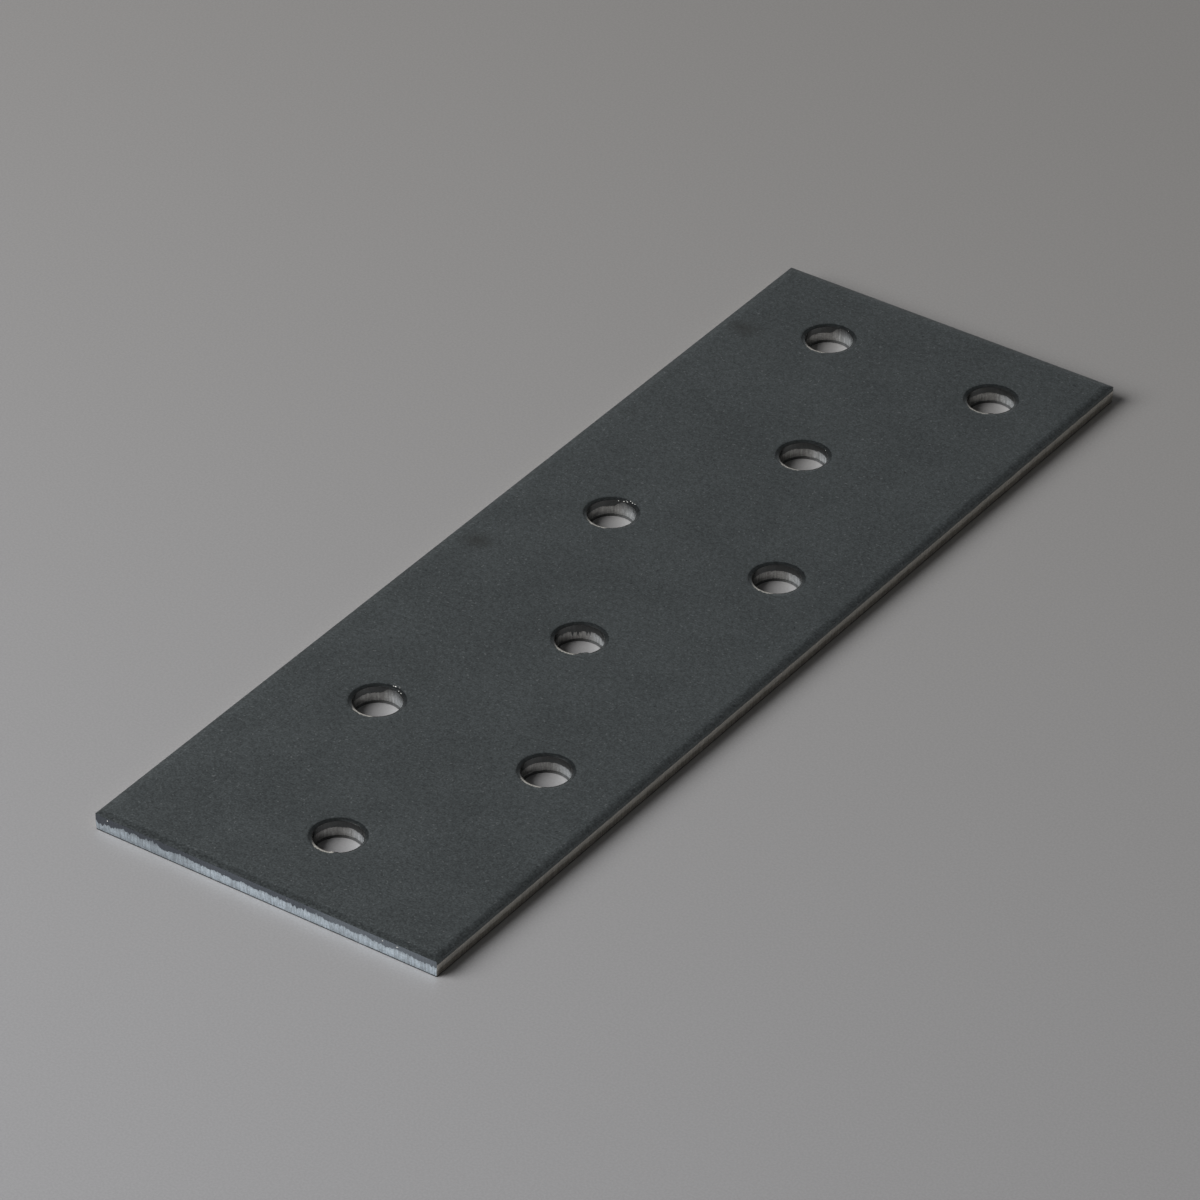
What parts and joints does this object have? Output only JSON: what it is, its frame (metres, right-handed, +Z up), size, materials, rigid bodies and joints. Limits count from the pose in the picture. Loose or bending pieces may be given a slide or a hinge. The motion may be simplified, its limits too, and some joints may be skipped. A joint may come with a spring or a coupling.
{
  "type": "mending plate",
  "caption": "Flat rectangular steel plate with a staggered pattern of round nail and screw holes, for joining timbers end to end or side by side.",
  "frame": {"origin": "under the middle of the plate, on the surface that it lies on", "axes": "+Z up from the underside to the top face, +Y along the plate's length towards the end with the first pair of holes, +X across its width"},
  "size_m": [0.04, 0.12, 0.002],
  "materials": {
    "galvanised_steel": "matte skin-passed zinc coating, bare at the sheared edges"
  },
  "bodies": {
    "root": {"mending_plate": "galvanised_steel"}
  },
  "joints": []
}
